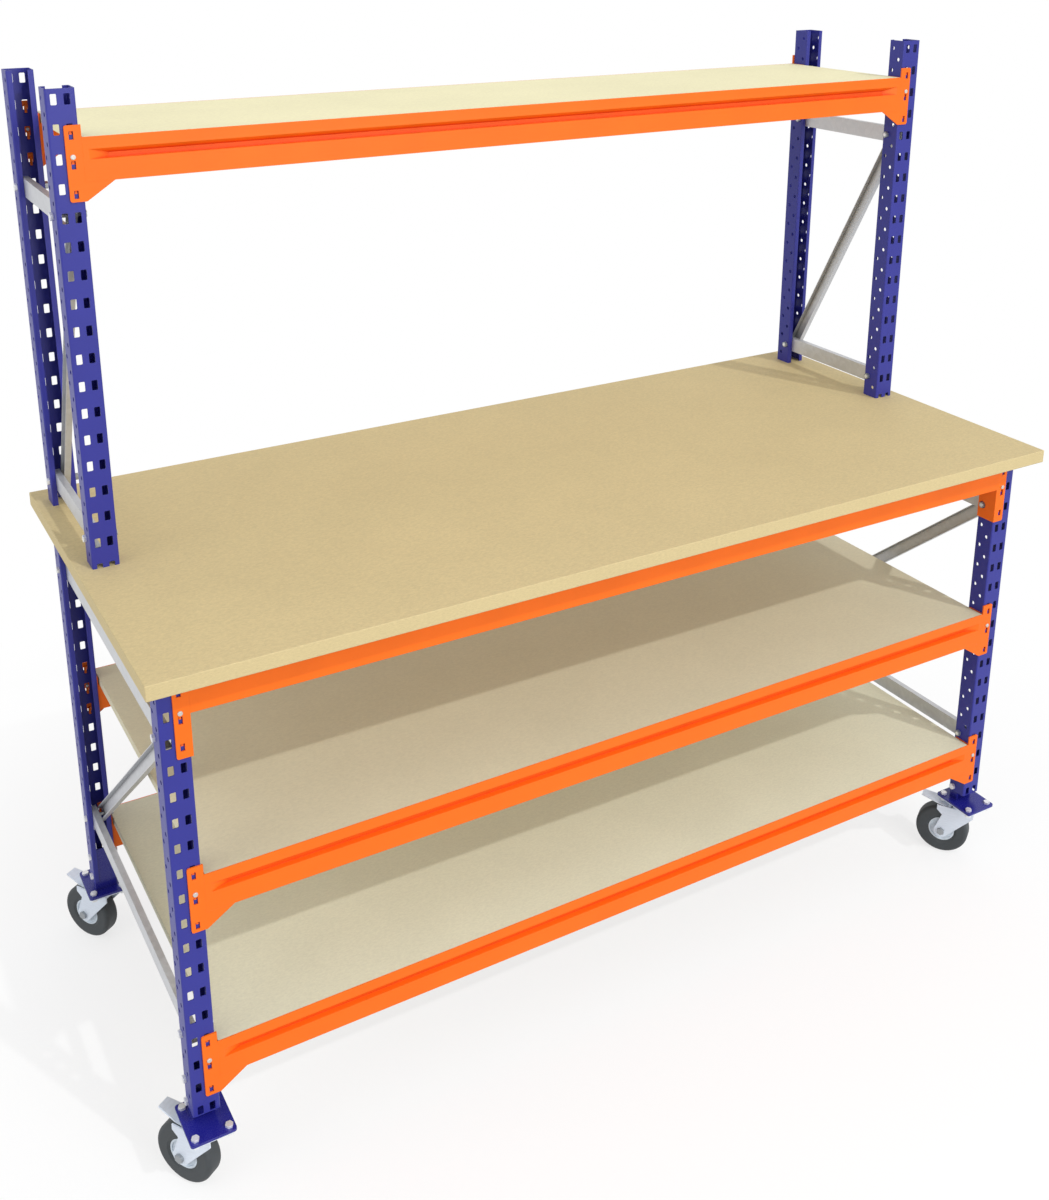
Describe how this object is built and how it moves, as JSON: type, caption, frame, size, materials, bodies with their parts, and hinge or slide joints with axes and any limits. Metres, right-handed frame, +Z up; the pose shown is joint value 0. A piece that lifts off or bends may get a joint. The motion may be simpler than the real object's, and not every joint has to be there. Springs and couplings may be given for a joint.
{
  "type": "mobile workbench",
  "caption": "Rolling workbench on slotted blue uprights with orange hook-in beams, a thick board top, board shelves below, a narrower shelf above and braked swivel casters.",
  "frame": {"origin": "on the floor, below the centre of the bench top", "axes": "+X along the bench to the right as seen from its front, +Y towards the back where the upper frame stands, +Z up"},
  "size_m": [2.0386, 0.9139, 1.953],
  "materials": {
    "blue_paint": "semi-gloss powder coat",
    "orange_paint": "semi-gloss powder coat",
    "galvanised_steel": "galvanised",
    "zinc_steel": "bright zinc",
    "bench_board": "matt chipboard",
    "shelf_board": "matt chipboard",
    "hub_plastic": "satin",
    "grey_tyre": "matt"
  },
  "bodies": {
    "bench_frame": {"bench_top": "bench_board", "upper_deck": "shelf_board", "middle_deck": "shelf_board", "bottom_deck": "shelf_board", "lower_front_left_upright": "blue_paint", "lower_front_right_upright": "blue_paint", "lower_back_left_upright": "blue_paint", "lower_back_right_upright": "blue_paint", "upper_front_left_upright": "blue_paint", "upper_front_right_upright": "blue_paint", "upper_back_left_upright": "blue_paint", "upper_back_right_upright": "blue_paint", "upper_front_beam": "orange_paint", "upper_back_beam": "orange_paint", "upper_beam_connectors": "orange_paint", "bench_front_beam": "orange_paint", "bench_back_beam": "orange_paint", "bench_beam_connectors": "orange_paint", "middle_front_beam": "orange_paint", "middle_back_beam": "orange_paint", "middle_beam_connectors": "orange_paint", "bottom_front_beam": "orange_paint", "bottom_back_beam": "orange_paint", "bottom_beam_connectors": "orange_paint", "lower_left_struts": "galvanised_steel", "lower_right_struts": "galvanised_steel", "upper_left_struts": "galvanised_steel", "upper_right_struts": "galvanised_steel", "foot_brackets": "blue_paint", "strut_bolts": "zinc_steel", "strut_nuts": "zinc_steel", "foot_bracket_bolts": "zinc_steel", "foot_bracket_nuts": "zinc_steel", "caster_plate_bolts": "zinc_steel", "caster_plate_nuts": "zinc_steel", "safety_pins": "zinc_steel", "caster_top_plates": "zinc_steel", "caster_kingpins": "zinc_steel"},
    "swivel_front_left": {"caster_fork_front_left": "zinc_steel", "wheel_axle_front_left": "zinc_steel"},
    "wheel_front_left": {"wheel_hub_front_left": "hub_plastic", "tyre_front_left": "grey_tyre"},
    "brake_front_left": {"brake_pedal_front_left": "zinc_steel"},
    "swivel_front_right": {"caster_fork_front_right": "zinc_steel", "wheel_axle_front_right": "zinc_steel"},
    "wheel_front_right": {"wheel_hub_front_right": "hub_plastic", "tyre_front_right": "grey_tyre"},
    "brake_front_right": {"brake_pedal_front_right": "zinc_steel"},
    "swivel_back_left": {"caster_fork_back_left": "zinc_steel", "wheel_axle_back_left": "zinc_steel"},
    "wheel_back_left": {"wheel_hub_back_left": "hub_plastic", "tyre_back_left": "grey_tyre"},
    "brake_back_left": {"brake_pedal_back_left": "zinc_steel"},
    "swivel_back_right": {"caster_fork_back_right": "zinc_steel", "wheel_axle_back_right": "zinc_steel"},
    "wheel_back_right": {"wheel_hub_back_right": "hub_plastic", "tyre_back_right": "grey_tyre"},
    "brake_back_right": {"brake_pedal_back_right": "zinc_steel"}
  },
  "joints": [
    {"name": "swivel_front_left", "type": "hinge", "parent": "bench_frame", "child": "swivel_front_left", "pos_m": [-0.957, -0.374, 0.14], "axis": [0, 0, 1], "continuous": true},
    {"name": "roll_front_left", "type": "hinge", "parent": "swivel_front_left", "child": "wheel_front_left", "pos_m": [-0.98205, -0.33542, 0.0625], "axis": [0.8387, 0.5446, 0], "continuous": true},
    {"name": "brake_front_left", "type": "hinge", "parent": "swivel_front_left", "child": "brake_front_left", "pos_m": [-0.97443, -0.34716, 0.13], "axis": [-0.8387, -0.5446, 0], "range_deg": [0, 9]},
    {"name": "swivel_front_right", "type": "hinge", "parent": "bench_frame", "child": "swivel_front_right", "pos_m": [0.957, -0.374, 0.14], "axis": [0, 0, 1], "continuous": true},
    {"name": "roll_front_right", "type": "hinge", "parent": "swivel_front_right", "child": "wheel_front_right", "pos_m": [0.93195, -0.33542, 0.0625], "axis": [0.8387, 0.5446, 0], "continuous": true},
    {"name": "brake_front_right", "type": "hinge", "parent": "swivel_front_right", "child": "brake_front_right", "pos_m": [0.93957, -0.34716, 0.13], "axis": [-0.8387, -0.5446, 0], "range_deg": [0, 9]},
    {"name": "swivel_back_left", "type": "hinge", "parent": "bench_frame", "child": "swivel_back_left", "pos_m": [-0.957, 0.374, 0.14], "axis": [0, 0, 1], "continuous": true},
    {"name": "roll_back_left", "type": "hinge", "parent": "swivel_back_left", "child": "wheel_back_left", "pos_m": [-0.98205, 0.41258, 0.0625], "axis": [0.8387, 0.5446, 0], "continuous": true},
    {"name": "brake_back_left", "type": "hinge", "parent": "swivel_back_left", "child": "brake_back_left", "pos_m": [-0.97443, 0.40084, 0.13], "axis": [-0.8387, -0.5446, 0], "range_deg": [0, 9]},
    {"name": "swivel_back_right", "type": "hinge", "parent": "bench_frame", "child": "swivel_back_right", "pos_m": [0.957, 0.374, 0.14], "axis": [0, 0, 1], "continuous": true},
    {"name": "roll_back_right", "type": "hinge", "parent": "swivel_back_right", "child": "wheel_back_right", "pos_m": [0.93195, 0.41258, 0.0625], "axis": [0.8387, 0.5446, 0], "continuous": true},
    {"name": "brake_back_right", "type": "hinge", "parent": "swivel_back_right", "child": "brake_back_right", "pos_m": [0.93957, 0.40084, 0.13], "axis": [-0.8387, -0.5446, 0], "range_deg": [0, 9]}
  ]
}
